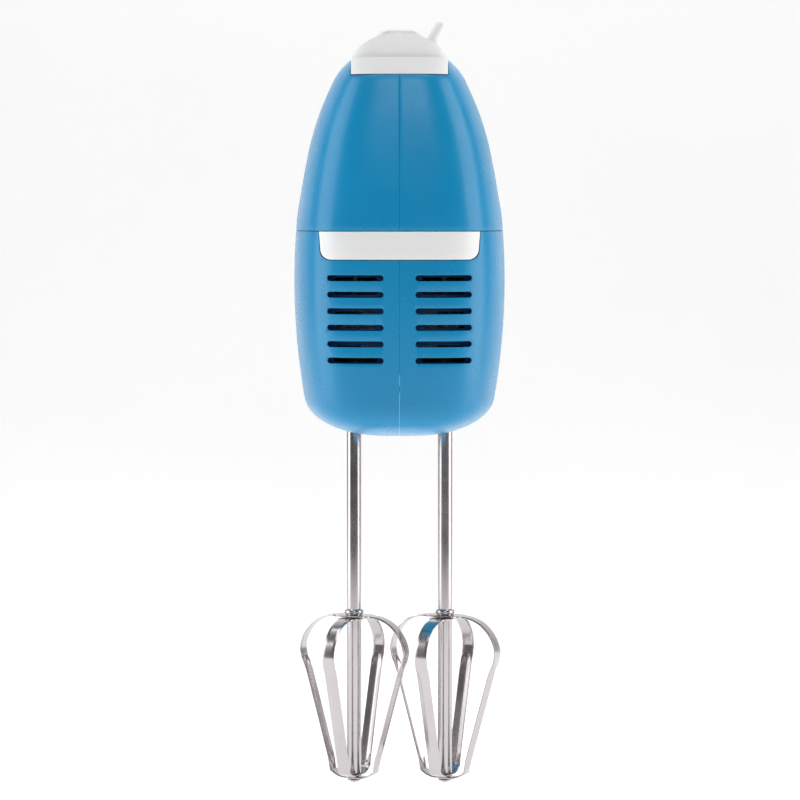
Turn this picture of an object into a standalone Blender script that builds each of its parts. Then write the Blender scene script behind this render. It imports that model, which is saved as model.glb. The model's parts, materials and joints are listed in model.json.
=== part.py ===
"""Hand mixer with twin beaters, built as an assembly of its separate pieces.

Lengths are in millimetres here and become metres when a mesh is made. +Z is up, the nose
points to -Y, Z = 0 is at the beater tips and Y = 0 is halfway along the body.
"""
import math

import bmesh
import bpy
from mathutils import Matrix, Vector

MM = 0.001
GAP = 0.3                        # clearance between touching pieces

# Body shells
SEAM_Z = 236.6                   # joint between the lower housing and the upper shell
BODY_Y0 = -1.0                   # centre of the moulded body; the heel pad adds the rest
BODY_HALF_WIDTH = 45.15
BODY_HALF_LENGTH = 95.0
WIDEST_Z = 215.0
TAPER_DROP = 3.85
TAPER_SPAN = 47.0
TOE_IN = 2.0                     # how far the ends draw in towards the belly
BELLY_TOP_Z = 166.0
BELLY_DEPTH = 16.8
BELLY_END = 0.985                # share of the belly's depth where its flat keel starts
BELLY_POWER = 2.25
BELLY_LENGTH_POWER = 3.5
SEAM_HALF_WIDTH = 44.3
SEAM_HALF_LENGTH = 94.4
FLARE_HEIGHT = 98.0
FLARE_POWER = 1.5
LEAN = 14.0                      # how far the ends draw in between seam and crown
LEAN_POWER = 1.6
CROWN_Z = 298.0
CROWN_DEPTH = 17.0
CROWN_END = 0.98
CROWN_POWER = 2.5
CROWN_PULL = 24.0
BODY_POWER = 4.0                 # squareness of the body in plan
TOP_POWER = 4.0
SHOULDER = 0.06                  # share the upper shell swells by below the crown
SHOULDER_Z = (244.0, 290.0)
WALL = 2.2

# Handle
GRIP_NARROWING = 0.42            # share of the width taken off along the grip
GRIP_FRONT_Y = (-58.0, -10.0)    # where the grip narrows behind the nose
GRIP_BACK_Y = (32.0, 76.0)       # where it widens again towards the heel
GRIP_Z = (244.0, 284.0)
ARCH_RISE = 4.0
ARCH_SPAN = 62.0
ARCH_Z = (256.0, 284.0)
FINGER_Y = (-39.0, 54.0)
FINGER_Z = (244.0, 281.0)
FINGER_CORNER = 18.0
FINGER_ROUND_TOP = 8.0
FINGER_ROUND_END = 6.0
FINGER_ROUND_DECK = 2.5
REACH = 60.0                     # half the length of a cutter that passes through the body

# Nose
TRIM_HALF_WIDTH = 33.1
TRIM_BOTTOM_Z = 225.0
TRIM_CORNER = 4.3
SLOT_LENGTH = 23.1
SLOT_HEIGHT = 2.5
SLOT_X = 18.05
SLOT_ROWS = 6
SLOT_TOP_Z = 217.45
SLOT_PITCH = 6.76
BAFFLE_Y = -83.0

# Controls
PIVOT_Y = -72.0
PIVOT_Z = 292.0
DOME_RADIUS = 26.1
COVER_HALF_WIDTH = 19.9
COVER_BOTTOM_Z = 301.0
COVER_BAND_Z = 307.8
COVER_BACK_Y = -58.0
COVER_SETBACK = 2.5
LEVER_RADIUS = 2.3
LEVER_LENGTH = 36.1
LEVER_ANGLE = math.radians(30)
LEVER_SWEEP = 16.8               # half the length of the lever's slot
BUTTON_Y = -47.5
BUTTON_SIZE = (19.0, 13.0)
BUTTON_CORNER = 4.2
BUTTON_Z = (303.0, 321.3)
BUTTON_BOW = 27.0                # radius of the button's arched top
ROD_RADIUS = 2.4
YOKE_Z = (227.0, 230.4)
BRACKET_Z = (288.4, 290.2)
SPRING_Z = (291.0, 302.2)
SPRING_RADIUS = 4.6
SPRING_TURNS = 3
SWITCH_Z = (266.5, 284.0)

# Drive
MOTOR_Z = 197.0
BEATER_X = 19.45
BEATER_Y = -42.0
WHEEL_RADIUS = 15.0
WHEEL_TEETH = 24
WORM_STARTS = 2
WORM_PITCH = 2 * math.pi * WHEEL_RADIUS / WHEEL_TEETH
WORM_RADIUS = BEATER_X - WHEEL_RADIUS
WORM_ROOT = 3.4
THREAD_HEIGHT = 1.8
SHAFT_RADIUS = 2.5
WHEEL_Z = (193.0, 201.0)
HUB_Z = (170.0, 206.0)
STATOR_Y = (2.0, 38.0)
FAN_BLADES = 8
FAN_RADIUS = 21.0
COIL_RADIUS = 19.5               # where the field coils run round the armature
COIL_ANGLE = math.radians(40)

# Beaters
BEATER_SHAFT_RADIUS = 3.1
BEATER_TOP_Z = 188.0
BORE_RADIUS = 3.4
PIN_RADIUS = 2.8
STRIP_WIDTH = 5.7
STRIP_EYE_WIDTH = 9.6
STRIP_THICKNESS = 0.75
CAGE_ANGLE = math.radians(25.5)
CAGE_PROFILE = ((5.0, 72.4), (8.0, 72.3), (12.6, 71.7), (17.3, 69.7), (21.0, 66.4), (23.6, 62.4),
                (24.9, 57.8), (24.4, 54.2), (23.5, 50.6), (17.3, 28.6), (11.2, 7.0), (9.5, 4.1),
                (6.7, 2.5), (4.4, 1.9))

# Fastenings and end fittings
SCREWS = ((-26.0, 168.0), (70.0, 186.0), (68.0, 258.0))
POST_RADIUS = 4.2
POST_INSET = 1.8
SCREW_HOLE_RADIUS = 2.0
SCREW_HEAD_RADIUS = 3.3
SCREW_RECESS_RADIUS = 3.7
PAD_Z = 197.0
PAD_HALF_WIDTH = 22.0
PAD_HALF_HEIGHT = 25.0
PAD_CORNER = 6.0
GLAND_Y = 92.9
GLAND_Z = 229.5

for old in list(bpy.data.objects):
    bpy.data.objects.remove(old, do_unlink=True)

parts = bpy.data.collections.new("hand_mixer")
guides = bpy.data.collections.new("cutters")
bpy.context.scene.collection.children.link(parts)
bpy.context.scene.collection.children.link(guides)


# ---------------------------------------------------------------- materials

def material(name, colour, roughness, metallic=0.0):
    """A plain Principled material."""
    mat = bpy.data.materials.new(name)
    mat.use_nodes = True
    shader = mat.node_tree.nodes["Principled BSDF"]
    shader.inputs["Base Color"].default_value = (*colour, 1.0)
    shader.inputs["Roughness"].default_value = roughness
    shader.inputs["Metallic"].default_value = metallic
    return mat


BLUE = material("blue_plastic", (0.01, 0.2, 0.42), 0.22)
WHITE = material("white_plastic", (0.8, 0.8, 0.8), 0.3)
NAVY = material("navy_plastic", (0.01, 0.05, 0.12), 0.5)
BLACK = material("black_plastic", (0.03, 0.03, 0.03), 0.5)
NYLON = material("nylon", (0.75, 0.73, 0.66), 0.45)
RUBBER = material("rubber", (0.05, 0.05, 0.055), 0.8)
CHROME = material("chromed_steel", (0.75, 0.74, 0.74), 0.12, 1.0)
STEEL = material("bright_steel", (0.6, 0.6, 0.6), 0.3, 1.0)
LAMINATION = material("laminated_steel", (0.35, 0.35, 0.36), 0.5, 1.0)
COPPER = material("enamelled_copper", (0.65, 0.27, 0.12), 0.35, 1.0)
BRASS = material("brass", (0.7, 0.52, 0.25), 0.35, 1.0)
CARBON = material("carbon", (0.06, 0.06, 0.06), 0.6)


# ---------------------------------------------------------------- modelling tools

def add_object(name, mesh):
    obj = bpy.data.objects.new(name, mesh)
    parts.objects.link(obj)
    return obj


def as_guide(obj):
    """Take a cutter or a merged shape out of the parts."""
    if obj.name in parts.objects:
        parts.objects.unlink(obj)
        guides.objects.link(obj)
    obj.hide_render = True
    obj.display_type = "WIRE"


def combine(obj, operation, *others):
    """Boolean modifiers that join other shapes to obj or cut it with them."""
    for other in others:
        modifier = obj.modifiers.new(other.name, "BOOLEAN")
        modifier.operation = operation
        modifier.solver = "EXACT"
        modifier.object = other
        as_guide(other)
    return obj


def cut(obj, *others):
    return combine(obj, "DIFFERENCE", *others)


def join(obj, *others):
    return combine(obj, "UNION", *others)


def evaluated_mesh(obj):
    bpy.context.view_layer.update()
    graph = bpy.context.evaluated_depsgraph_get()
    return bpy.data.meshes.new_from_object(obj.evaluated_get(graph))


def bake(obj):
    """Replace an object's mesh by its evaluated one."""
    mesh = evaluated_mesh(obj)
    obj.modifiers.clear()
    obj.data = mesh
    return obj


def finish(obj, mat, origin=None, crease=35):
    """Give a piece its material, smooth shading and, if it moves, its origin."""
    obj.data.materials.clear()
    obj.data.materials.append(mat)
    obj.data.shade_smooth()
    obj.data.set_sharp_from_angle(angle=math.radians(crease))
    if origin is not None:
        point = Vector(origin) * MM
        obj.data.transform(Matrix.Translation(-(obj.matrix_basis.inverted() @ point)))
        obj.matrix_basis = Matrix.Translation(point) @ obj.matrix_basis.to_3x3().to_4x4()
    return obj


def mesh_from(name, bm):
    bmesh.ops.recalc_face_normals(bm, faces=bm.faces)
    mesh = bpy.data.meshes.new(name)
    bm.to_mesh(mesh)
    bm.free()
    return add_object(name, mesh)


def loft(name, rings, cyclic=False, ridge=False):
    """A closed skin through rings of equal point counts; a ridge closes the last one across X."""
    bm = bmesh.new()
    loops = [[bm.verts.new(Vector(point) * MM) for point in ring] for ring in rings]
    following = loops[1:] + loops[:1] if cyclic else loops[1:]
    for low, high in zip(loops, following):
        for i, start in enumerate(low):
            j = (i + 1) % len(low)
            bm.faces.new((start, low[j], high[j], high[i]))
    if not cyclic:
        bm.faces.new(loops[0][::-1])
    if ridge:
        last, half = loops[-1], len(loops[-1]) // 2
        for i in range(-half // 2, half // 2):
            corners = (last[i], last[i + 1], last[half - i - 1], last[half - i])
            bm.faces.new(list(dict.fromkeys(corners)))
    elif not cyclic:
        bm.faces.new(loops[-1])
    return mesh_from(name, bm)


def prism(name, outline, axis, low, high):
    """A flat outline pushed along X, Y or Z; the outline lies in the other two axes."""
    bm = bmesh.new()
    points = []
    for u, v in outline:
        point = [u, v]
        point.insert(axis, low)
        points.append(bm.verts.new(Vector(point) * MM))
    made = bmesh.ops.extrude_face_region(bm, geom=[bm.faces.new(points)])
    shift = Vector((0, 0, 0))
    shift[axis] = (high - low) * MM
    moved = [item for item in made["geom"] if isinstance(item, bmesh.types.BMVert)]
    bmesh.ops.translate(bm, verts=moved, vec=shift)
    return mesh_from(name, bm)


def box(name, low, high):
    bm = bmesh.new()
    size = [h - l for l, h in zip(low, high)]
    centre = [(h + l) / 2 for l, h in zip(low, high)]
    matrix = Matrix.Translation(Vector(centre) * MM) @ Matrix.Diagonal((*(Vector(size) * MM), 1.0))
    bmesh.ops.create_cube(bm, size=1.0, matrix=matrix)
    return mesh_from(name, bm)


def rod(name, radius, start, end, sides=20, end_radius=None):
    """A cylinder or cone between two points."""
    bm = bmesh.new()
    start, end = Vector(start) * MM, Vector(end) * MM
    turn = (end - start).to_track_quat("Z", "Y").to_matrix().to_4x4()
    last = radius if end_radius is None else end_radius
    bmesh.ops.create_cone(bm, cap_ends=True, segments=sides, radius1=radius * MM, radius2=last * MM,
                          depth=(end - start).length, matrix=Matrix.Translation((start + end) / 2) @ turn)
    return mesh_from(name, bm)


def turned(name, profile, centre=(0, 0, 0), along_y=False, steps=24, bored=False):
    """Turn a profile of (radius, height) pairs, listed down its outer side."""
    mesh = bpy.data.meshes.new(name)
    edges = [(i, i + 1) for i in range(len(profile) - 1)]
    if bored:
        edges.append((len(profile) - 1, 0))
    mesh.from_pydata([(r * MM, 0, h * MM) for r, h in profile], edges, [])
    obj = add_object(name, mesh)
    obj.location = Vector(centre) * MM
    if along_y:
        obj.rotation_euler.x = -math.pi / 2
    screw = obj.modifiers.new("turn", "SCREW")
    screw.axis = "Z"
    screw.steps = steps
    screw.render_steps = steps
    screw.use_merge_vertices = True
    screw.merge_threshold = 0.00001
    mesh_obj = bake(obj)
    mesh_obj.data.transform(obj.matrix_basis)
    mesh_obj.matrix_basis = Matrix.Identity(4)
    return mesh_obj


def sleeve(name, bore, radius, low, high, centre, along_y=False, steps=24):
    """A plain tube, such as a bush."""
    profile = ((radius, high), (radius, low), (bore, low), (bore, high))
    return turned(name, profile, centre, along_y, steps, bored=True)


def rounded_outline(half_u, half_v, corner, centre=(0, 0), steps=5):
    """Points round a rectangle with round corners."""
    points = []
    for quarter in range(4):
        for step in range(steps + 1):
            angle = (quarter + step / steps) * math.pi / 2
            normal = (math.cos(angle), math.sin(angle))
            side_u = 1 if quarter in (0, 3) else -1
            side_v = 1 if quarter in (0, 1) else -1
            points.append((centre[0] + side_u * (half_u - corner) + corner * normal[0],
                           centre[1] + side_v * (half_v - corner) + corner * normal[1]))
    return points


def smooth(low, high, value):
    t = min(max((value - low) / (high - low), 0.0), 1.0)
    return t * t * (3 - 2 * t)


# ---------------------------------------------------------------- body form

def lower_width(z):
    """Half-width of the lower housing."""
    width = BODY_HALF_WIDTH - TAPER_DROP * ((z - WIDEST_Z) / TAPER_SPAN) ** 2
    depth = min(max((BELLY_TOP_Z - z) / BELLY_DEPTH, 0.0), BELLY_END)
    return width * (1 - depth ** BELLY_POWER) ** (1 / BELLY_POWER)


def lower_length(z):
    """Half-length of the lower housing."""
    if z < WIDEST_Z:
        length = BODY_HALF_LENGTH - TOE_IN * ((WIDEST_Z - z) / TAPER_SPAN) ** 2
    else:
        rise = (z - WIDEST_Z) / (SEAM_Z - WIDEST_Z)
        length = BODY_HALF_LENGTH - (BODY_HALF_LENGTH - SEAM_HALF_LENGTH) * rise ** 2
    depth = min(max((BELLY_TOP_Z - z) / BELLY_DEPTH, 0.0), BELLY_END)
    return length * (1 - depth ** BELLY_LENGTH_POWER) ** (1 / BELLY_LENGTH_POWER)


def crown(z):
    """How far z is into the crown, from 0 at its foot to almost 1 at its top."""
    return min(max((z - CROWN_Z) / CROWN_DEPTH, 0.0), CROWN_END)


def upper_width(z):
    """Half-width of the upper shell before the grip is narrowed."""
    flare = max(z - SEAM_Z, 0.0) / FLARE_HEIGHT
    width = SEAM_HALF_WIDTH * (1 - flare ** FLARE_POWER) ** (1 / FLARE_POWER)
    width *= 1 + SHOULDER * smooth(*SHOULDER_Z, z)
    return width * (1 - crown(z) ** CROWN_POWER) ** (1 / CROWN_POWER)


def upper_length(z):
    """Half-length of the upper shell."""
    rise = max(z - SEAM_Z, 0.0) / (CROWN_Z + CROWN_DEPTH - SEAM_Z)
    return SEAM_HALF_LENGTH - LEAN * rise ** LEAN_POWER - CROWN_PULL * (1 - math.sqrt(1 - crown(z) ** 2))


def plan_power(z):
    return BODY_POWER + (TOP_POWER - BODY_POWER) * smooth(SEAM_Z, CROWN_Z, z)


def narrowing(y, z):
    """Share of the width left at a place on the handle."""
    along = smooth(*GRIP_FRONT_Y, y) * (1 - smooth(*GRIP_BACK_Y, y))
    return 1 - GRIP_NARROWING * along * smooth(*GRIP_Z, z)


def arch(y, z):
    """How far the handle rises over its straight form."""
    bow = max(1 - (y / ARCH_SPAN) ** 2, 0.0)
    return ARCH_RISE * bow * bow * smooth(*ARCH_Z, z)


def plan_ring(z, half_width, half_length, power, count):
    """A rounded rectangle in plan, with evenly spread points."""
    ring = []
    for i in range(count):
        angle = 2 * math.pi * i / count
        c, s = math.cos(angle), math.sin(angle)
        reach = (abs(c) ** power + abs(s) ** power) ** (-1 / power)
        ring.append((half_width * c * reach, BODY_Y0 + half_length * s * reach, z))
    return ring


def inset_value(profile, z, inset, outward):
    """A profile drawn in by a wall, sideways or along Z, whichever is more."""
    return min(profile(z) - inset, profile(z + outward * inset)) if inset else profile(z)


def lower_form(name, inset=0.0, top=SEAM_Z - GAP / 2, count=36):
    bottom = BELLY_TOP_Z - BELLY_DEPTH * BELLY_END + inset
    drops = (0.0, 0.02, 0.06, 0.13, 0.24, 0.38, 0.56, 0.78, 1.0)
    levels = [bottom + (BELLY_TOP_Z + 2 - bottom) * drop for drop in drops]
    levels += [BELLY_TOP_Z + 2 + (top - BELLY_TOP_Z - 2) * step / 5 for step in range(1, 6)]
    rings = [plan_ring(z, inset_value(lower_width, z, inset, -1), inset_value(lower_length, z, inset, -1),
                       BODY_POWER, count) for z in levels]
    return loft(name, rings)


def upper_form(name, inset=0.0, bottom=SEAM_Z + GAP / 2, count=36):
    levels = [bottom + (CROWN_Z - bottom) * step / 7 for step in range(8)]
    top = CROWN_Z + CROWN_DEPTH * CROWN_END - inset
    levels += [CROWN_Z + (top - CROWN_Z) * math.sin(math.pi / 2 * step / 6) for step in range(1, 7)]
    rings = []
    for z in levels:
        ring = plan_ring(z, inset_value(upper_width, z, inset, 1), inset_value(upper_length, z, inset, 1),
                         plan_power(z), count)
        rings.append([(x * narrowing(y, z), y, z + arch(y, z)) for x, y, z in ring])
    return loft(name, rings, ridge=True)


def width_at(y, z):
    """Half-width of the handle's outer form at a place on its side."""
    reach = min(abs(y - BODY_Y0) / upper_length(z), 0.999)
    power = plan_power(z)
    return upper_width(z) * (1 - reach ** power) ** (1 / power) * narrowing(y, z)


def finger_outline(steps=4, straight=4):
    """The finger opening seen from the side: (y, z, normal y, normal z)."""
    middle = [(low + high) / 2 for low, high in (FINGER_Y, FINGER_Z)]
    half = [(high - low) / 2 - FINGER_CORNER for low, high in (FINGER_Y, FINGER_Z)]
    points = []
    for quarter, (side_y, side_z) in enumerate(((1, 1), (-1, 1), (-1, -1), (1, -1))):
        for step in range(steps + 1):
            angle = (quarter + step / steps) * math.pi / 2
            normal = (math.cos(angle), math.sin(angle))
            points.append((middle[0] + side_y * half[0] + FINGER_CORNER * normal[0],
                           middle[1] + side_z * half[1] + FINGER_CORNER * normal[1], *normal))
        if quarter in (0, 2):
            last = points[-1]
            for step in range(1, straight):
                points.append((last[0] - 2 * side_y * half[0] * step / straight, *last[1:]))
    return points


def finger_form(name, inset=0.0, steps=2):
    """The space for the fingers, flared so that the handle's edges are round."""
    turns = [math.pi / 2 * step / steps for step in range(steps, -1, -1)]
    stations = [(-1, None)] + [(-1, turn) for turn in turns]
    stations += [(1, turn) for turn in turns[::-1]] + [(1, None)]
    rings = []
    for side, turn in stations:
        ring = []
        for y, z, normal_y, normal_z in finger_outline():
            rounding = FINGER_ROUND_END + (FINGER_ROUND_TOP - FINGER_ROUND_END) * max(normal_z, 0.0)
            rounding += (FINGER_ROUND_DECK - FINGER_ROUND_END) * max(-normal_z, 0.0)
            radius = rounding - inset
            offset = inset + radius * (1 - math.cos(math.pi / 2 if turn is None else turn))
            reach = REACH if turn is None else width_at(y, z) - rounding + radius * math.sin(turn)
            ring.append((side * reach, y + offset * normal_y, z + offset * normal_z + arch(y, z)))
        rings.append(ring)
    return loft(name, rings)


# ---------------------------------------------------------------- casings

def stadium(length, height, centre, steps=2):
    """A slot outline with round ends."""
    return rounded_outline(length / 2, height / 2, height / 2 - 0.001, centre, steps)


def trim_outline(clearance=0.0):
    """The nose insert seen from the front: square at the top, round at the bottom."""
    half = TRIM_HALF_WIDTH + clearance
    low = TRIM_BOTTOM_Z - clearance
    top = SEAM_Z - (GAP / 2 if clearance == 0 else -1.0)
    corner = TRIM_CORNER
    points = [(half, top)]
    for side in (1, -1):
        turns = range(7) if side > 0 else range(6, -1, -1)
        for step in turns:
            angle = math.pi / 2 * step / 6
            points.append((side * (half - 0.6 - corner + corner * math.cos(angle)),
                           low + corner - corner * math.sin(angle)))
    points.append((-half, top))
    return points


def screw_head_x(y, z):
    """Where a screw head sits: just under the left side's surface."""
    if z < SEAM_Z:
        reach = abs(y - BODY_Y0) / lower_length(z)
        return -lower_width(z) * (1 - reach ** BODY_POWER) ** (1 / BODY_POWER)
    return -width_at(y, z)


def add_screw_posts(shell, upper):
    """Hollow posts that the housing screws run through, and their holes."""
    places = [place for place in SCREWS if (place[1] > SEAM_Z) == upper]
    for y, z in places:
        side = screw_head_x(y, z)
        join(shell, rod("screw_post", POST_RADIUS, (side + POST_INSET, y, z),
                        (-side - POST_INSET, y, z), 16))
    for y, z in places:
        side = screw_head_x(y, z)
        cut(shell, rod("screw_hole", SCREW_HOLE_RADIUS, (side + 3, y, z), (12, y, z), 12),
            rod("screw_recess", SCREW_RECESS_RADIUS, (side - 6, y, z), (side + 4.4, y, z), 16))


def split(shell, names, mat):
    """Cut a shell at the middle plane into its left and right halves."""
    bake(shell)
    for side, name in zip((-1, 1), names):
        half = add_object(name, shell.data.copy())
        near, far = sorted((side * GAP / 2, -side * 70.0))
        cut(half, box(name + "_other_side", (near, -110, 100), (far, 110, 340)))
        finish(bake(half), mat)
    as_guide(shell)


def make_lower_housing():
    shell = cut(lower_form("lower_body"), lower_form("lower_hollow", WALL, SEAM_Z + 5, 28))
    bake(shell)
    trim = add_object("front_trim", shell.data.copy())
    combine(trim, "INTERSECT", prism("trim_shape", trim_outline(), 1, -110, -60))
    finish(bake(trim), WHITE)
    add_screw_posts(shell, upper=False)
    cut(shell, prism("trim_opening", trim_outline(GAP), 1, -110, -60))
    for side in (-1, 1):
        for row in range(SLOT_ROWS):
            centre = (side * SLOT_X, SLOT_TOP_Z - row * SLOT_PITCH)
            cut(shell, prism("vent_slot", stadium(SLOT_LENGTH, SLOT_HEIGHT, centre), 1, -110, -86.5))
        centre = (side * BEATER_X, BEATER_Y)
        cut(shell, rod("beater_port", 5.5, (*centre, 140), (*centre, 168)))
    pocket = rounded_outline(PAD_HALF_WIDTH + GAP, PAD_HALF_HEIGHT + GAP, PAD_CORNER + GAP, (0, PAD_Z))
    cut(shell, prism("heel_pocket", pocket, 1, 91.2, 110),
        rod("gland_hole", 5.6, (0, 80, GLAND_Z), (0, 110, GLAND_Z)))
    split(shell, ("lower_housing_left", "lower_housing_right"), BLUE)


def make_upper_shell():
    hollow = cut(upper_form("upper_hollow", WALL, SEAM_Z - 5, 28), finger_form("finger_wall", WALL))
    shell = cut(upper_form("upper_body"), finger_form("finger_space"), bake(hollow))
    add_screw_posts(shell, upper=True)
    width, depth = BUTTON_SIZE
    button_hole = rounded_outline(width / 2 + 0.4, depth / 2 + 0.4, BUTTON_CORNER + 0.4, (0, BUTTON_Y))
    cut(shell, prism("button_hole", button_hole, 2, CROWN_Z + 7, 335),
        box("cover_notch", (-COVER_HALF_WIDTH - GAP, -110, COVER_BOTTOM_Z - GAP),
            (COVER_HALF_WIDTH + GAP, COVER_BACK_Y + GAP, 340)))
    split(shell, ("upper_shell_left", "upper_shell_right"), BLUE)


def front_prism(name, inset, low, high):
    """The plan of the handle's top, pushed up along Z."""
    outline = [point[:2] for point in plan_ring(low, upper_width(COVER_BOTTOM_Z) + 4 - inset,
                                                upper_length(COVER_BOTTOM_Z) - inset,
                                                plan_power(COVER_BOTTOM_Z), 64)]
    return prism(name, outline, 2, low, high)


def make_control_cover():
    """White cap on the nose end of the handle: a front band and a half-round dome."""
    band = front_prism("cover_band", 0, COVER_BOTTOM_Z, COVER_BAND_Z)
    dome = front_prism("cover_dome", COVER_SETBACK, COVER_BOTTOM_Z, 330)
    barrel = rod("dome_barrel", DOME_RADIUS, (0, -100, PIVOT_Z), (0, -40, PIVOT_Z), 72)
    combine(dome, "INTERSECT", barrel)
    cover = join(band, bake(dome))
    block = box("cover_block", (-COVER_HALF_WIDTH, -110, COVER_BOTTOM_Z),
                (COVER_HALF_WIDTH, COVER_BACK_Y, 340))
    combine(cover, "INTERSECT", block)
    hollow = front_prism("cover_hollow", COVER_SETBACK + WALL, COVER_BOTTOM_Z - 5, 330)
    inner_barrel = rod("inner_barrel", DOME_RADIUS - WALL, (0, -100, PIVOT_Z), (0, -40, PIVOT_Z), 72)
    inner_half = COVER_HALF_WIDTH - WALL
    inner_block = box("inner_block", (-inner_half, -110, 290), (inner_half, COVER_BACK_Y - WALL, 340))
    combine(hollow, "INTERSECT", inner_barrel, inner_block)
    half_slot = LEVER_RADIUS + 0.6
    lever_slot = box("lever_slot", (-LEVER_SWEEP, PIVOT_Y - half_slot, COVER_BAND_Z + 1.2),
                     (LEVER_SWEEP, PIVOT_Y + half_slot, 330))
    cut(cover, bake(hollow), lever_slot)
    bake(cover)
    cover.name = "control_cover"
    finish(cover, WHITE)


def make_end_fittings():
    pad_outline = rounded_outline(PAD_HALF_WIDTH, PAD_HALF_HEIGHT, PAD_CORNER, (0, PAD_Z))
    pad = prism("heel_pad", pad_outline, 1, 91.5, 96)
    finish(pad, RUBBER)
    profile = ((6.9, 3.1), (6.9, 1.4), (5.3, 1.4), (5.3, -4.0), (3.4, -4.0), (3.4, 3.1))
    finish(turned("cord_gland", profile, (0, GLAND_Y, GLAND_Z), along_y=True, bored=True), RUBBER)
    baffle = box("air_baffle", (-30, BAFFLE_Y, 179), (30, BAFFLE_Y + 1.6, 222))
    for side in (-1, 1):
        for z in (186, 200, 214):
            cut(baffle, box("baffle_window", (side * 18 - 9, BAFFLE_Y - 2, z - 3.5),
                            (side * 18 + 9, BAFFLE_Y + 4, z + 3.5)))
    finish(bake(baffle), NAVY)
    for number, (y, z) in enumerate(SCREWS, 1):
        head = screw_head_x(y, z) + 1.5
        profile = ((0, 0), (SCREW_HEAD_RADIUS, 0), (SCREW_HEAD_RADIUS, -2.2), (1.5, -2.4),
                   (1.5, head - 9), (0, head - 11))
        screw = turned("housing_screw_%d" % number, profile, steps=16)
        cut(screw, box("driver_slot", (-0.5, -2.6, -0.9), (0.5, 2.6, 1)))
        bake(screw)
        place = Matrix.Translation(Vector((head, y, z)) * MM)
        screw.data.transform(place @ Matrix.Rotation(-math.pi / 2, 4, "Y"))
        finish(screw, STEEL)


# ---------------------------------------------------------------- controls

def make_controls():
    pivot = Vector((0, PIVOT_Y, PIVOT_Z))
    profile = []
    for turn in range(0, 91, 18):
        sine, cosine = math.sin(math.radians(turn)), math.cos(math.radians(turn))
        profile.append((LEVER_RADIUS * sine, LEVER_LENGTH - LEVER_RADIUS * (1 - cosine)))
    lever = turned("speed_lever", profile + [(LEVER_RADIUS, 3.3), (0, 3.3)], steps=16)
    swing = Matrix.Rotation(LEVER_ANGLE, 4, "Y") @ Matrix.Rotation(math.radians(8), 4, "Z")
    lever.data.transform(Matrix.Translation(pivot * MM) @ swing)
    join(lever, sleeve("lever_hub", 2.0, 4.6, -3.2, 3.2, pivot, along_y=True, steps=18))
    finish(bake(lever), WHITE, pivot)
    finish(rod("lever_pivot_pin", 1.7, (0, -83.8, PIVOT_Z), (0, -60, PIVOT_Z), 16), STEEL)
    finish(box("speed_switch", (-9, -80, SWITCH_Z[0]), (9, -64, SWITCH_Z[1])), BLACK)

    width, depth = BUTTON_SIZE
    low, high = BUTTON_Z
    top = Vector((0, BUTTON_Y, high))
    outline = rounded_outline(width / 2, depth / 2, BUTTON_CORNER, (0, BUTTON_Y))
    button = prism("eject_button", outline, 2, low, high + 1)
    arch_centre = high - BUTTON_BOW
    arched = rod("button_arch", BUTTON_BOW, (0, BUTTON_Y - depth, arch_centre),
                 (0, BUTTON_Y + depth, arch_centre), 96)
    finish(bake(combine(button, "INTERSECT", arched)), WHITE, top)
    yoke = box("ejector_yoke", (-23, -50.5, YOKE_Z[0]), (23, -38, YOKE_Z[1]))
    push_rod = rod("push_rod", ROD_RADIUS, (0, BUTTON_Y, YOKE_Z[0] + 2), (0, BUTTON_Y, low - GAP), 16)
    finish(bake(join(yoke, push_rod)), NYLON, top)
    bracket = box("eject_bracket", (-12, -56, BRACKET_Z[0]), (12, -40, BRACKET_Z[1]))
    rod_hole = rod("rod_hole", ROD_RADIUS + 0.4, (0, BUTTON_Y, BRACKET_Z[0] - 5),
                   (0, BUTTON_Y, BRACKET_Z[1] + 5), 16)
    finish(bake(cut(bracket, rod_hole)), STEEL)

    coil = bpy.data.curves.new("eject_spring", "CURVE")
    coil.dimensions = "3D"
    coil.bevel_depth = 0.5 * MM
    coil.bevel_resolution = 1
    coil.use_fill_caps = True
    steps = 12
    spline = coil.splines.new("POLY")
    spline.points.add(SPRING_TURNS * steps)
    for i, point in enumerate(spline.points):
        angle = 2 * math.pi * i / steps
        height = SPRING_Z[0] + (SPRING_Z[1] - SPRING_Z[0]) * i / (SPRING_TURNS * steps)
        x, y = SPRING_RADIUS * math.cos(angle), BUTTON_Y + SPRING_RADIUS * math.sin(angle)
        point.co = (x * MM, y * MM, height * MM, 1)
    coil.materials.append(STEEL)
    parts.objects.link(bpy.data.objects.new("eject_spring", coil))


# ---------------------------------------------------------------- motor and gears

def make_worm_shaft():
    """Armature shaft with a two-start worm raised on its front end."""
    length, sides, rows = 16.0, 16, 32
    rings = []
    for row in range(rows + 1):
        offset = length * (row / rows - 0.5)
        fade = 1.0 if 0 < row < rows else 0.0
        ring = []
        for i in range(sides):
            angle = 2 * math.pi * i / sides
            phase = offset / WORM_PITCH - WORM_STARTS * i / sides
            distance = abs(phase - round(phase))
            thread = min(max((0.24 - distance) / 0.10, 0.0), 1.0)
            radius = WORM_ROOT + fade * THREAD_HEIGHT * thread
            ring.append((radius * math.cos(angle), BEATER_Y + offset, MOTOR_Z + radius * math.sin(angle)))
        rings.append(ring)
    shaft = rod("armature_shaft", SHAFT_RADIUS, (0, -67, MOTOR_Z), (0, 66, MOTOR_Z), 24)
    finish(bake(join(shaft, loft("worm", rings))), STEEL, (0, 0, MOTOR_Z))


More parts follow.
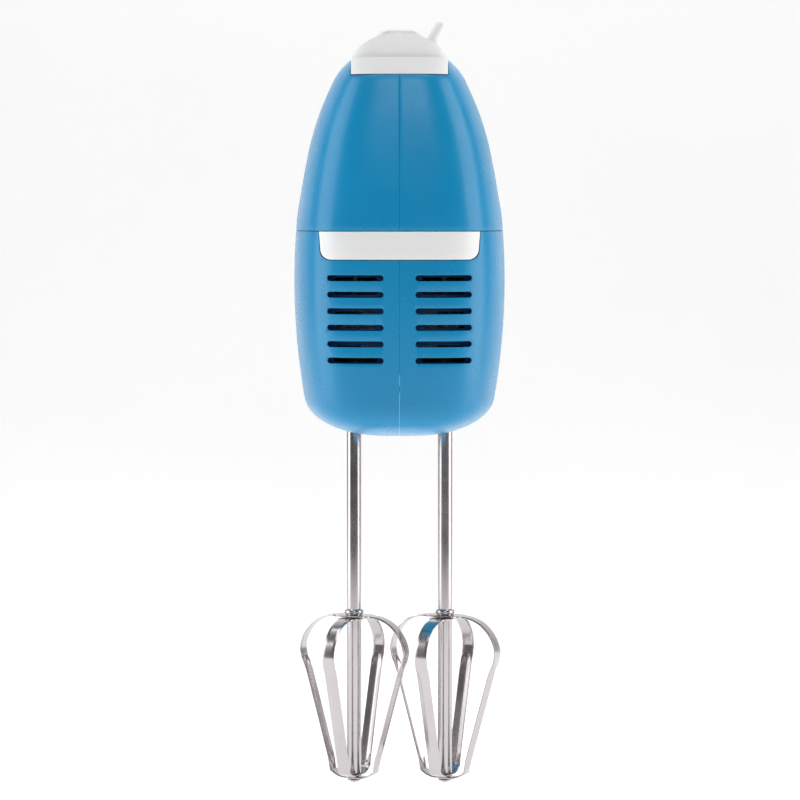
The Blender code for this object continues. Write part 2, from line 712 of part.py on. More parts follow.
def make_armature():
    centre = (0, 0, MOTOR_Z)
    core = sleeve("armature_core", SHAFT_RADIUS + GAP, 16.0, *STATOR_Y, centre, along_y=True, steps=24)
    finish(core, LAMINATION, centre)
    bore = SHAFT_RADIUS + GAP
    front = ((10, 1.6), (14.5, 0.6), (14.5, -3), (10, -6), (bore, -6), (bore, 1.6))
    rear = ((8, 45), (12, 44), (14.5, 41.5), (14.5, 38.4), (bore, 38.4), (bore, 45))
    for name, profile in (("front_winding", front), ("rear_winding", rear)):
        finish(turned(name, profile, centre, along_y=True, bored=True), COPPER, centre)
    finish(sleeve("commutator", bore, 8.5, 45.4, 54.5, centre, along_y=True), COPPER, centre)
    outline = []
    for blade in range(FAN_BLADES):
        middle = 2 * math.pi * (blade + 0.5) / FAN_BLADES
        for radius, half in ((6, -0.7), (FAN_RADIUS - 0.5, -0.6), (FAN_RADIUS - 0.5, 0.6), (6, 0.7)):
            angle = middle + half / radius
            outline.append((radius * math.cos(angle), MOTOR_Z + radius * math.sin(angle)))
    fan = prism("cooling_fan", outline, 1, -16, -9.7)
    join(fan, rod("fan_disc", FAN_RADIUS, (0, -10.4, MOTOR_Z), (0, -9, MOTOR_Z), 32))
    cut(fan, rod("fan_bore", bore, (0, -20, MOTOR_Z), (0, -5, MOTOR_Z)))
    finish(bake(fan), NYLON, centre)


def make_stator():
    stator = prism("stator_core", rounded_outline(28, 24, 5, (0, MOTOR_Z)), 1, *STATOR_Y)
    low, high = STATOR_Y[0] - 2, STATOR_Y[1] + 2
    cut(stator, rod("stator_bore", 16.8, (0, low, MOTOR_Z), (0, high, MOTOR_Z), 36))
    for side in (-1, 1):
        for rise in (-1, 1):
            x = side * COIL_RADIUS * math.cos(COIL_ANGLE)
            z = MOTOR_Z + rise * COIL_RADIUS * math.sin(COIL_ANGLE)
            cut(stator, rod("coil_slot", 3.6, (x, low, z), (x, high, z), 16))
    finish(bake(stator), LAMINATION)
    for name, rise in (("field_coil_top", 1), ("field_coil_bottom", -1)):
        path = []
        for y, turns in ((-1.6, range(9)), (41.6, range(8, -1, -1))):
            for step in turns:
                angle = (COIL_ANGLE + (math.pi - 2 * COIL_ANGLE) * step / 8) * rise
                path.append((COIL_RADIUS * math.cos(angle), y, MOTOR_Z + COIL_RADIUS * math.sin(angle)))
        coil = bpy.data.curves.new(name, "CURVE")
        coil.dimensions = "3D"
        coil.bevel_depth = 2.6 * MM
        coil.bevel_resolution = 2
        spline = coil.splines.new("POLY")
        spline.points.add(len(path) - 1)
        spline.use_cyclic_u = True
        for point, place in zip(spline.points, path):
            point.co = (*(Vector(place) * MM), 1)
        coil.materials.append(COPPER)
        parts.objects.link(bpy.data.objects.new(name, coil))


def make_motor_mounts():
    centre = (0, 0, MOTOR_Z)
    finish(sleeve("front_bearing", SHAFT_RADIUS + GAP, 6, -66.4, -60.6, centre, True), BRASS)
    finish(sleeve("rear_bearing", SHAFT_RADIUS + GAP, 6, 57.2, 63, centre, True), BRASS)
    bracket = prism("bearing_bracket", rounded_outline(34, 20, 6, (0, MOTOR_Z)), 1, 58.6, 60.8)
    finish(bake(cut(bracket, rod("bearing_seat", 6.3, (0, 50, MOTOR_Z), (0, 70, MOTOR_Z)))), STEEL)
    for side, word in ((-1, "left"), (1, "right")):
        near, far = sorted((side * 12, side * 29))
        holder = box("brush_holder_" + word, (near, 46.4, MOTOR_Z - 3.6), (far, 53.6, MOTOR_Z + 3.6))
        cut(holder, box("brush_way", (near - 3, 47.7, MOTOR_Z - 2.3), (far + 3, 52.3, MOTOR_Z + 2.3)))
        finish(bake(holder), BRASS)
        near, far = sorted((side * 8.9, side * 25))
        finish(box("carbon_brush_" + word, (near, 48, MOTOR_Z - 2), (far, 52, MOTOR_Z + 2)), CARBON)
    case = box("gear_case", (-36, -64, 184), (36, -19, 186.4))
    join(case, box("front_wall", (-16, -64, 185), (16, -61.4, 206)),
         box("rear_wall", (-16, -21.6, 185), (16, -19, 206)))
    cut(case, rod("case_front_seat", 6.3, (0, -70, MOTOR_Z), (0, -55, MOTOR_Z)),
        rod("case_rear_hole", 4, (0, -25, MOTOR_Z), (0, -10, MOTOR_Z)))
    for side in (-1, 1):
        centre = (side * BEATER_X, BEATER_Y)
        cut(case, rod("bush_seat", 8.8, (*centre, 180), (*centre, 190)))
    finish(bake(case), NYLON)


def wheel_ring(z):
    """Outline of a worm wheel at one height, turned with its helix."""
    slope = WORM_STARTS * WORM_PITCH / (2 * math.pi * WORM_RADIUS)
    twist = -slope * (z - MOTOR_Z) / WHEEL_RADIUS
    root, tip = WHEEL_RADIUS - 1.1, WHEEL_RADIUS + 0.7
    ring = []
    for tooth in range(WHEEL_TEETH):
        middle = 2 * math.pi * (tooth + 0.5) / WHEEL_TEETH + twist
        for radius, half in ((root, -0.95), (tip, -0.5), (tip, 0.5), (root, 0.95)):
            angle = middle + half / radius
            ring.append((radius * math.cos(angle), radius * math.sin(angle), z))
    return ring


def make_beater_drive(side, word):
    axis = Vector((side * BEATER_X, BEATER_Y, 0))
    low, high = WHEEL_Z
    gear = loft("drive_gear_" + word, [wheel_ring(z) for z in (low, high)])
    gear.data.transform(Matrix.Translation(axis * MM))
    join(gear, rod("gear_hub", 6, axis + Vector((0, 0, HUB_Z[0])), axis + Vector((0, 0, HUB_Z[1])), 24))
    cut(gear, rod("gear_bore", BORE_RADIUS, axis + Vector((0, 0, 160)), axis + Vector((0, 0, 215)), 24))
    origin = axis + Vector((0, 0, MOTOR_Z))
    finish(bake(gear), NYLON, origin)
    finish(sleeve("gear_bush_" + word, 6.3, 8.5, 178, 190, axis), BRASS)
    top, foot = YOKE_Z[0] - GAP, BEATER_TOP_Z + GAP
    profile = ((0, top), (4.2, top), (4.2, top - 1.5), (PIN_RADIUS, top - 1.5),
               (PIN_RADIUS, foot + 0.3), (0, foot))
    finish(turned("ejector_pin_" + word, profile, axis), STEEL, origin)


# ---------------------------------------------------------------- beaters

def strip_loop(name, angle, axis, top_drop, bottom_rise):
    """A flat strip bent into a closed loop in an upright plane through the shaft."""
    (_, top), (_, bottom) = CAGE_PROFILE[0], CAGE_PROFILE[-1]
    share = (top - top_drop - bottom - bottom_rise) / (top - bottom)
    side = [(r, bottom + bottom_rise + (z - bottom) * share) for r, z in CAGE_PROFILE]
    path = side + [(-r, z) for r, z in side[::-1]]
    along = Vector((math.cos(angle), math.sin(angle), 0))
    across = Vector((-math.sin(angle), math.cos(angle), 0))
    rings = []
    for i, (r, z) in enumerate(path):
        (r0, z0), (r1, z1) = path[i - 1], path[(i + 1) % len(path)]
        step = Vector((r1 - r0, z1 - z0)).normalized()
        inward = Vector((step.y, -step.x))
        eye = 1 - smooth(5.5, 9.5, abs(r)) if z > 50 else 0
        half = (STRIP_WIDTH + (STRIP_EYE_WIDTH - STRIP_WIDTH) * eye) / 2
        inner = Vector((r, z)) + inward * STRIP_THICKNESS
        ring = []
        for (pr, pz), offset in (((r, z), half), ((r, z), -half), (inner, -half), (inner, half)):
            ring.append(axis + along * pr + across * offset + Vector((0, 0, pz)))
        rings.append(ring)
    loop = loft(name, rings, cyclic=True)
    cut(loop, rod("eye", BORE_RADIUS, axis + Vector((0, 0, 60)), axis + Vector((0, 0, 80))),
        rod("tail_eye", 2.1, axis + Vector((0, 0, -2)), axis + Vector((0, 0, 6)), 16))
    return finish(bake(loop), CHROME, axis + Vector((0, 0, BEATER_TOP_Z)))


def make_beater(side, word):
    axis = Vector((side * BEATER_X, BEATER_Y, 0))
    r = BEATER_SHAFT_RADIUS
    profile = ((0, BEATER_TOP_Z), (r - 0.8, BEATER_TOP_Z), (r, BEATER_TOP_Z - 0.8), (r, 74.6),
               (r + 1.0, 74.3), (r + 1.0, 72.9), (r, 72.7), (r, 4.2), (1.8, 4.0), (1.8, 1.6), (2.9, 1.4), (2.4, 0.5), (0, 0.0))
    shaft = turned("beater_shaft_" + word, profile, axis, steps=16)
    finish(shaft, CHROME, axis + Vector((0, 0, BEATER_TOP_Z)))
    nested = STRIP_THICKNESS + GAP
    strip_loop("beater_outer_loop_" + word, -CAGE_ANGLE, axis, 0.0, 0.0)
    strip_loop("beater_inner_loop_" + word, math.pi / 2 - CAGE_ANGLE, axis, nested, nested)


make_lower_housing()
make_upper_shell()
make_control_cover()
make_end_fittings()
make_controls()
make_worm_shaft()
make_armature()
make_stator()
make_motor_mounts()
for beater_side, side_word in ((-1, "left"), (1, "right")):
    make_beater_drive(beater_side, side_word)
    make_beater(beater_side, side_word)
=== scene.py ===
"""Hand mixer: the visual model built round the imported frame. Lengths are in millimetres until
a mesh is made, in the frame's own axes: +Z up, the nose towards -Y."""
import json
import math

import bmesh
import bpy
from mathutils import Matrix, Vector


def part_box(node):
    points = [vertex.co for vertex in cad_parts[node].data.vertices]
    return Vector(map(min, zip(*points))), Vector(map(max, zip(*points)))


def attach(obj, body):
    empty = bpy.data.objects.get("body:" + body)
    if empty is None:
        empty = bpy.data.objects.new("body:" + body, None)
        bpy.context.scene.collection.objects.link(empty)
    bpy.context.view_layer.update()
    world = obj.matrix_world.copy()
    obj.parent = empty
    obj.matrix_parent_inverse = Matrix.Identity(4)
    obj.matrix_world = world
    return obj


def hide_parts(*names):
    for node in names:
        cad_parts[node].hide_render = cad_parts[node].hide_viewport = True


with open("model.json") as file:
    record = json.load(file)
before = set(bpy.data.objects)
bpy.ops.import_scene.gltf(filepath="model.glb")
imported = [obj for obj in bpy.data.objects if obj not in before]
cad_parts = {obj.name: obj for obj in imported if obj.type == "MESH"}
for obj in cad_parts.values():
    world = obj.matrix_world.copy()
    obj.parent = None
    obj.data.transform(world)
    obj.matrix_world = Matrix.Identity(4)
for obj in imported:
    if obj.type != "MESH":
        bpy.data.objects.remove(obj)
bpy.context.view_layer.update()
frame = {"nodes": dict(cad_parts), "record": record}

MM = 0.001
GAP = 0.3                        # between neighbouring pieces, as in the CAD


def node_box(node):
    """A CAD node's lowest and highest corners in millimetres."""
    low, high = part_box(node)
    return Vector(low) / MM, Vector(high) / MM


# Body form, the same as the frame's
SEAM_Z = node_box("upper_shell_left")[0].z - GAP / 2
BODY_Y0 = -1.0
BODY_HALF_WIDTH = 45.15
BODY_HALF_LENGTH = 95.0
WIDEST_Z = 215.0
TAPER_DROP = 3.85
TAPER_SPAN = 47.0
TOE_IN = 2.0
BELLY_TOP_Z = 166.0
BELLY_DEPTH = 16.8
BELLY_END = 0.985
BELLY_POWER = 2.25
BELLY_LENGTH_POWER = 3.5
SEAM_HALF_WIDTH = 44.3
SEAM_HALF_LENGTH = 94.4
FLARE_HEIGHT = 98.0
FLARE_POWER = 1.5
LEAN = 14.0
LEAN_POWER = 1.6
CROWN_Z = 298.0
CROWN_DEPTH = 17.0
CROWN_END = 0.98
CROWN_POWER = 2.5
CROWN_PULL = 24.0
BODY_POWER = 4.0
TOP_POWER = 4.0
SHOULDER = 0.06
SHOULDER_Z = (244.0, 290.0)
WALL = 2.2
GRIP_NARROWING = 0.42
GRIP_FRONT_Y = (-58.0, -10.0)
GRIP_BACK_Y = (32.0, 76.0)
GRIP_Z = (244.0, 284.0)
ARCH_RISE = 4.0
ARCH_SPAN = 62.0
ARCH_Z = (256.0, 284.0)
FINGER_Y = (-39.0, 54.0)
FINGER_Z = (244.0, 281.0)
FINGER_CORNER = 18.0
FINGER_ROUND_TOP = 8.0
FINGER_ROUND_END = 6.0
FINGER_ROUND_DECK = 2.5
REACH = 60.0
RING_POINTS = 144
HOLLOW_POINTS = 96
HOLLOW_REACH = 5.0               # how far a hollow runs past its casing's open end

# Nose and controls
TRIM_HALF_WIDTH = 33.1
TRIM_BOTTOM_Z = 225.0
TRIM_CORNER = 4.3
TRIM_DRAFT = 0.6                 # how much narrower each side is at the bottom
TRIM_OPENING_REACH = 1.0
SLOT_LENGTH = 23.1
SLOT_HEIGHT = 2.5
SLOT_X = 18.05
SLOT_ROWS = 6
SLOT_TOP_Z = 217.45
SLOT_PITCH = 6.76
SLOT_DEPTH_Y = -86.5
PIVOT_Y = -72.0
PIVOT_Z = 292.0
DOME_RADIUS = 26.1
COVER_HALF_WIDTH = 19.9
COVER_BOTTOM_Z = 301.0
COVER_BAND_Z = 307.8
COVER_BACK_Y = -58.0
COVER_SETBACK = 2.5
COVER_CUT_Z = 330
COVER_SPARE = 4.0                # extra width that is cut off again
COVER_POINTS = 192
BARREL_Y = (-100, -40)           # reach of the round shapes that make the dome
LEVER_RADIUS = 2.3
LEVER_LENGTH = 36.1
LEVER_ANGLE = math.radians(30)
LEVER_SWEEP = 16.8               # half the length of the lever's slot
LEVER_ROOT = 3.3
LEVER_PLAY = 0.6
LEVER_TURN = math.radians(8)     # turns its facets about its own length
LEVER_SLOT_Z = COVER_BAND_Z + 1.2
HUB_RADIUS = 4.6
HUB_BORE = 2.0
HUB_LENGTH = 6.4
BUTTON_BOW = 27.0
BUTTON_CORNER = 4.2
BUTTON_PLAY = 0.4
BUTTON_HOLE_Z = CROWN_Z + 7
POCKET_RADIUS = 5.7              # the hollow under the button that takes the spring
POCKET_DEPTH = 7.5
SCREWS = ((-26.0, 168.0), (70.0, 186.0), (68.0, 258.0))
POST_RADIUS = 4.2
POST_INSET = 1.8
SCREW_HOLE_RADIUS = 2.0
SCREW_RECESS_RADIUS = 3.7
SCREW_RECESS_DEPTH = 4.4
SCREW_HOLE_START = 3.0           # inside the recess
SCREW_HOLE_END_X = 12
SCREW_CUT_REACH = 6.0
SCREW_SINK = 1.5                 # how deep a screw's head sits under the casing's side
DRIVER_SLOT = ((-0.45, -2.1, -1.3), (0.45, 2.1, 1))
PARTING = 0.08                   # how far apart the two halves of a casing show

# Heel pad, gland and baffle
PAD_Z = 197.0
PAD_HALF_WIDTH = 22.0
PAD_HALF_HEIGHT = 25.0
PAD_CORNER = 6
PAD_POCKET_Y = 91.2
RIBS = 9
RIB_MARGIN = 6
RIB_LENGTH = 34
RIB_WIDTH = 1.2
RIB_DEPTH = 0.8
GLAND_Y = 92.9
GLAND_Z = 229.5
GLAND_HOLE_RADIUS = 5.6
GLAND_HOLE_Y = 80
PORT_RADIUS = 5.5
PORT_Z = (140, 168)
BAFFLE_WINDOW_X = 18
BAFFLE_WINDOW_HALF = (9, 3.5)
BAFFLE_WINDOW_CORNER = 1.5
BAFFLE_WINDOWS_Z = (186, 200, 214)

# Beaters
BEATER_SHAFT_RADIUS = 3.1
STRIP_WIDTH = 5.7
STRIP_EYE_WIDTH = 9.6
STRIP_THICKNESS = 0.75
CAGE_ANGLE = math.radians(25.5)
CAGE_PROFILE = ((5.0, 72.4), (8.0, 72.3), (12.6, 71.7), (17.3, 69.7), (21.0, 66.4), (23.6, 62.4),
                (24.9, 57.8), (24.4, 54.2), (23.5, 50.6), (17.3, 28.6), (11.2, 7.0), (9.5, 4.1),
                (6.7, 2.5), (4.4, 1.9))
CREASE_DEPTH = 1.15
RIDGE_SHARE = 0.4                # share of the fold that stands out of the strip
CREASE_FOOT_Z = (5.5, 9.0)       # where the fold along a strip's middle begins
CREASE_HEAD_Z = (49.0, 52.5)     # and where it runs out again
EYE_FADE = (5.5, 9.5)            # from the shaft, where the strip's round eye runs into its width
EYE_Z = 50
EYE_CUT_Z = (60, 80)
TAIL_CUT_Z = (-2, 6)
TAIL_EYE_RADIUS = 2.1
PEENED_RADIUS = 0.55
PEENED_OFFSET = 1.15
PEENED_Z = (0.02, 0.9)

# Reach of the cutting shapes past the body
NOSE_CUT_Y = -110
HEEL_CUT_Y = 110
LOW_CUT_Z = 100
TOP_CUT_Z = 340
SIDE_CUT_X = 70.0
TRIM_CUT_Y = -60

# Stage and camera, in metres
FLOOR_DROP = 0.05                # below the tips, out of the reach of a drawn-out beater
SWEEP_HALF_WIDTH = 3.2
SWEEP_FRONT_Y = -2.2
SWEEP_BEND_Y = 1.6
SWEEP_RADIUS = 0.9
SWEEP_TOP_Z = 3.2
CAMERA_SPAN = 0.339              # width of what the camera sees at its aim
CAMERA_DISTANCE = 1.30
CAMERA_HEIGHT = 0.245
CAMERA_AIM = Vector((0.0002, -0.05, 0.1649))
SENSOR_WIDTH = 36
LIGHT_TARGET = Vector((0, 0, 0.2))

looks = bpy.data.collections.new("looks")
bpy.context.scene.collection.children.link(looks)


# ---------------------------------------------------------------- mesh tools

def add_object(name, mesh):
    obj = bpy.data.objects.new(name, mesh)
    looks.objects.link(obj)
    return obj


def mesh_from(name, bm):
    bmesh.ops.recalc_face_normals(bm, faces=bm.faces)
    mesh = bpy.data.meshes.new(name)
    bm.to_mesh(mesh)
    bm.free()
    return add_object(name, mesh)


def bake(obj):
    """Replace an object's mesh by its evaluated one."""
    bpy.context.view_layer.update()
    graph = bpy.context.evaluated_depsgraph_get()
    mesh = bpy.data.meshes.new_from_object(obj.evaluated_get(graph))
    obj.modifiers.clear()
    obj.data = mesh
    return obj


def combine(obj, operation, *others):
    """Boolean each other shape with obj, bake the result and drop the others."""
    for other in others:
        modifier = obj.modifiers.new(other.name, "BOOLEAN")
        modifier.operation = operation
        modifier.solver = "EXACT"
        modifier.object = other
    bake(obj)
    for other in others:
        bpy.data.objects.remove(other, do_unlink=True)
    return obj


def cut(obj, *others):
    return combine(obj, "DIFFERENCE", *others)


def join(obj, *others):
    return combine(obj, "UNION", *others)


def copy_of(name, obj):
    return add_object(name, obj.data.copy())


def loft(name, rings, cyclic=False, ridge=False):
    """A closed skin through rings of equal point counts; a ridge closes the last one across X."""
    bm = bmesh.new()
    loops = [[bm.verts.new(Vector(point) * MM) for point in ring] for ring in rings]
    following = loops[1:] + loops[:1] if cyclic else loops[1:]
    for low, high in zip(loops, following):
        for i, start in enumerate(low):
            j = (i + 1) % len(low)
            bm.faces.new((start, low[j], high[j], high[i]))
    if not cyclic:
        bm.faces.new(loops[0][::-1])
    if ridge:
        last, half = loops[-1], len(loops[-1]) // 2
        for i in range(-half // 2, half // 2):
            corners = (last[i], last[i + 1], last[half - i - 1], last[half - i])
            bm.faces.new(list(dict.fromkeys(corners)))
    elif not cyclic:
        bm.faces.new(loops[-1])
    return mesh_from(name, bm)


def prism(name, outline, axis, low, high):
    """A flat outline pushed along X, Y or Z; the outline lies in the other two axes."""
    rings = []
    for level in (low, high):
        ring = []
        for u, v in outline:
            point = [u, v]
            point.insert(axis, level)
            ring.append(point)
        rings.append(ring)
    return loft(name, rings)


def box(name, low, high):
    bm = bmesh.new()
    size = [h - l for l, h in zip(low, high)]
    centre = [(h + l) / 2 for l, h in zip(low, high)]
    matrix = Matrix.Translation(Vector(centre) * MM) @ Matrix.Diagonal((*(Vector(size) * MM), 1.0))
    bmesh.ops.create_cube(bm, size=1.0, matrix=matrix)
    return mesh_from(name, bm)


def rod(name, radius, start, end, sides=48):
    """A cylinder between two points."""
    bm = bmesh.new()
    start, end = Vector(start) * MM, Vector(end) * MM
    turn = (end - start).to_track_quat("Z", "Y").to_matrix().to_4x4()
    bmesh.ops.create_cone(bm, cap_ends=True, segments=sides, radius1=radius * MM, radius2=radius * MM,
                          depth=(end - start).length, matrix=Matrix.Translation((start + end) / 2) @ turn)
    return mesh_from(name, bm)


def turned(name, profile, centre=(0, 0, 0), along_y=False, steps=64, bored=False):
    """Turn a profile of (radius, height) pairs, listed down its outer side."""
    mesh = bpy.data.meshes.new(name)
    edges = [(i, i + 1) for i in range(len(profile) - 1)]
    if bored:
        edges.append((len(profile) - 1, 0))
    mesh.from_pydata([(r * MM, 0, h * MM) for r, h in profile], edges, [])
    obj = add_object(name, mesh)
    screw = obj.modifiers.new("turn", "SCREW")
    screw.axis = "Z"
    screw.steps = screw.render_steps = steps
    screw.use_merge_vertices = True
    screw.merge_threshold = 0.00001
    bake(obj)
    place = Matrix.Translation(Vector(centre) * MM)
    if along_y:
        place = place @ Matrix.Rotation(-math.pi / 2, 4, "X")
    obj.data.transform(place)
    return obj


def rounded_outline(half_u, half_v, corner, centre=(0, 0), steps=8):
    """Points round a rectangle with round corners."""
    points = []
    for quarter, (side_u, side_v) in enumerate(((1, 1), (-1, 1), (-1, -1), (1, -1))):
        for step in range(steps + 1):
            angle = (quarter + step / steps) * math.pi / 2
            points.append((centre[0] + side_u * (half_u - corner) + corner * math.cos(angle),
                           centre[1] + side_v * (half_v - corner) + corner * math.sin(angle)))
    return points


def smooth(low, high, value):
    t = min(max((value - low) / (high - low), 0.0), 1.0)
    return t * t * (3 - 2 * t)


def soften(obj, width=0.35, angle=38, segments=2):
    """Round the sharp edges of a finished shape a little and shade it smooth."""
    bevel = obj.modifiers.new("edge", "BEVEL")
    bevel.width = width * MM
    bevel.segments = segments
    bevel.limit_method = "ANGLE"
    bevel.angle_limit = math.radians(angle)
    bevel.use_clamp_overlap = True
    bevel.miter_outer = "MITER_ARC"
    bake(obj)
    return shade(obj)


def shade(obj, crease=40):
    obj.data.shade_smooth()
    obj.data.set_sharp_from_angle(angle=math.radians(crease))
    return obj


# ---------------------------------------------------------------- materials

class Nodes:
    """A short way to wire a Principled material."""

    def __init__(self, name):
        self.material = bpy.data.materials.new(name)
        self.material.use_nodes = True
        self.tree = self.material.node_tree
        self.shader = self.tree.nodes["Principled BSDF"]

    def add(self, kind, **values):
        node = self.tree.nodes.new(kind)
        for key, value in values.items():
            setattr(node, key, value)
        return node

    def link(self, output, target):
        self.tree.links.new(output, target)

    def set(self, **values):
        for key, value in values.items():
            self.shader.inputs[key.replace("_", " ")].default_value = value

    def noise(self, scale, detail=3.0, roughness=0.55, stretch=(1, 1, 1)):
        place = self.add("ShaderNodeTexCoord")
        mapping = self.add("ShaderNodeMapping")
        mapping.inputs["Scale"].default_value = stretch
        texture = self.add("ShaderNodeTexNoise")
        texture.inputs["Scale"].default_value = scale
        texture.inputs["Detail"].default_value = detail
        texture.inputs["Roughness"].default_value = roughness
        self.link(place.outputs["Object"], mapping.inputs["Vector"])
        self.link(mapping.outputs["Vector"], texture.inputs["Vector"])
        return texture.outputs["Fac"]

    def ramp(self, source, low, high, start=0.3, end=0.7):
        """Map a value between start and end to a colour or a grey between low and high."""
        node = self.add("ShaderNodeValToRGB")
        for element, place, value in zip(node.color_ramp.elements, (start, end), (low, high)):
            element.position = place
            element.color = (*value, 1) if isinstance(value, tuple) else (value, value, value, 1)
        self.link(source, node.inputs["Fac"])
        return node.outputs["Color"]

    def bump(self, *layers):
        """Stack bumps of (source, distance in millimetres, strength)."""
        normal = None
        for source, distance, strength in layers:
            node = self.add("ShaderNodeBump")
            node.inputs["Distance"].default_value = distance * MM
            node.inputs["Strength"].default_value = strength
            self.link(source, node.inputs["Height"])
            if normal is not None:
                self.link(normal, node.inputs["Normal"])
            normal = node.outputs["Normal"]
        self.link(normal, self.shader.inputs["Normal"])


def tone(colour, factor):
    return tuple(min(channel * factor, 1.0) for channel in colour)


def moulded(name, colour, roughness, grain=0.02, coat=0.0, spread=0.05):
    """Moulded plastic: faint colour drift, uneven gloss and a fine surface ripple."""
    look = Nodes(name)
    drift = look.noise(22, 4)
    tint = look.ramp(drift, tone(colour, 1 - spread), tone(colour, 1 + spread))
    look.link(tint, look.shader.inputs["Base Color"])
    patches = look.noise(60, 6, 0.65)
    look.link(look.ramp(patches, roughness * 0.85, roughness * 1.25), look.shader.inputs["Roughness"])
    look.bump((look.noise(260, 2), 0.05, grain * 4), (look.noise(2600, 2), 0.02, grain * 2))
    look.set(Coat_Weight=coat, Coat_Roughness=0.06, IOR=1.48)
    return look.material


def polished(name, colour, roughness, stretch=(1, 1, 0.04), streak=0.25):
    """Bright metal with fine drawing lines and slight smears."""
    look = Nodes(name)
    look.set(Metallic=1.0)
    smears = look.noise(35, 5, 0.6)
    look.link(look.ramp(smears, tone(colour, 0.93), tone(colour, 1.04)), look.shader.inputs["Base Color"])
    lines = look.noise(1400, 2, 0.5, stretch)
    look.link(look.ramp(smears, roughness * 0.7, roughness * 1.5), look.shader.inputs["Roughness"])
    look.bump((lines, 0.01, streak), (look.noise(120, 3), 0.05, 0.03))
    return look.material


def banded(name, colour, roughness, pitch, metallic=1.0, direction="Y"):
    """Stacked sheets or wound wire: fine bands across one axis."""
    look = Nodes(name)
    look.set(Metallic=metallic)
    place = look.add("ShaderNodeTexCoord")
    wave = look.add("ShaderNodeTexWave", wave_type="BANDS", bands_direction=direction)
    wave.inputs["Scale"].default_value = math.pi / 10 / (pitch * MM)
    wave.inputs["Distortion"].default_value = 0.4
    look.link(place.outputs["Object"], wave.inputs["Vector"])
    look.link(look.ramp(wave.outputs["Fac"], tone(colour, 0.6), tone(colour, 1.1), 0.1, 0.8),
              look.shader.inputs["Base Color"])
    look.link(look.ramp(look.noise(90), roughness * 0.8, roughness * 1.3), look.shader.inputs["Roughness"])
    look.bump((wave.outputs["Fac"], 0.2, 0.5))
    return look.material


LOOKS = {
    "blue_shell": moulded("blue_abs", (0.001, 0.25, 0.505), 0.28, 0.005),
    "white_trim": moulded("white_abs", (0.86, 0.862, 0.865), 0.3, 0.012, spread=0.01),
    # The air baffle's blue is painted brighter than its own navy: painted light that makes up for the shade it
    # sits in behind the vent slots.
    "navy_baffle": moulded("navy_abs_painted_light", (0.006, 0.14, 0.4), 0.45, 0.05),
    "soft_rubber": moulded("soft_rubber", (0.045, 0.046, 0.05), 0.72, 0.12, spread=0.15),
    "black_moulding": moulded("black_nylon", (0.02, 0.02, 0.021), 0.5, 0.06, spread=0.2),
    "nylon": moulded("natural_nylon", (0.7, 0.67, 0.57), 0.42, 0.04),
    "chrome": polished("chromed_steel", (0.53, 0.495, 0.5), 0.2, streak=0.05),
    "bright_steel": polished("bright_steel", (0.56, 0.56, 0.57), 0.26),
    "lamination": banded("steel_laminations", (0.33, 0.33, 0.35), 0.45, 0.6),
    "copper": banded("copper_winding", (0.66, 0.25, 0.1), 0.32, 0.7, direction="X"),
    "bearing_bronze": polished("sintered_bronze", (0.63, 0.44, 0.2), 0.38),
    "carbon": moulded("carbon_block", (0.035, 0.035, 0.037), 0.55, 0.1, spread=0.2),
}
NODE_SLOTS = {entry["node"]: entry["material_slot"] for entry in frame["record"]["subparts"]}


def body_with(node):
    """The body that holds a CAD node."""
    return next(body for body, nodes in frame["record"]["behaviour"]["bodies"].items() if node in nodes)


def dress(obj, *nodes, name=None):
    """Finish a piece that stands for CAD nodes: material, body, slot and name."""
    slot = NODE_SLOTS[nodes[0]]
    obj.name = name or "look_" + nodes[0]
    obj.data.materials.clear()
    obj.data.materials.append(LOOKS[slot])
    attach(obj, body_with(nodes[0]))
    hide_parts(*nodes)
    return obj


# ---------------------------------------------------------------- body form

def lower_width(z):
    width = BODY_HALF_WIDTH - TAPER_DROP * ((z - WIDEST_Z) / TAPER_SPAN) ** 2
    depth = min(max((BELLY_TOP_Z - z) / BELLY_DEPTH, 0.0), BELLY_END)
    return width * (1 - depth ** BELLY_POWER) ** (1 / BELLY_POWER)


def lower_length(z):
    if z < WIDEST_Z:
        length = BODY_HALF_LENGTH - TOE_IN * ((WIDEST_Z - z) / TAPER_SPAN) ** 2
    else:
        rise = (z - WIDEST_Z) / (SEAM_Z - WIDEST_Z)
        length = BODY_HALF_LENGTH - (BODY_HALF_LENGTH - SEAM_HALF_LENGTH) * rise ** 2
    depth = min(max((BELLY_TOP_Z - z) / BELLY_DEPTH, 0.0), BELLY_END)
    return length * (1 - depth ** BELLY_LENGTH_POWER) ** (1 / BELLY_LENGTH_POWER)


def crown(z):
    return min(max((z - CROWN_Z) / CROWN_DEPTH, 0.0), CROWN_END)


def upper_width(z):
    flare = max(z - SEAM_Z, 0.0) / FLARE_HEIGHT
    width = SEAM_HALF_WIDTH * (1 - flare ** FLARE_POWER) ** (1 / FLARE_POWER)
    width *= 1 + SHOULDER * smooth(*SHOULDER_Z, z)
    return width * (1 - crown(z) ** CROWN_POWER) ** (1 / CROWN_POWER)


def upper_length(z):
    rise = max(z - SEAM_Z, 0.0) / (CROWN_Z + CROWN_DEPTH - SEAM_Z)
    return SEAM_HALF_LENGTH - LEAN * rise ** LEAN_POWER - CROWN_PULL * (1 - math.sqrt(1 - crown(z) ** 2))


def plan_power(z):
    return BODY_POWER + (TOP_POWER - BODY_POWER) * smooth(SEAM_Z, CROWN_Z, z)


def narrowing(y, z):
    along = smooth(*GRIP_FRONT_Y, y) * (1 - smooth(*GRIP_BACK_Y, y))
    return 1 - GRIP_NARROWING * along * smooth(*GRIP_Z, z)


def arch(y, z):
    bow = max(1 - (y / ARCH_SPAN) ** 2, 0.0)
    return ARCH_RISE * bow * bow * smooth(*ARCH_Z, z)


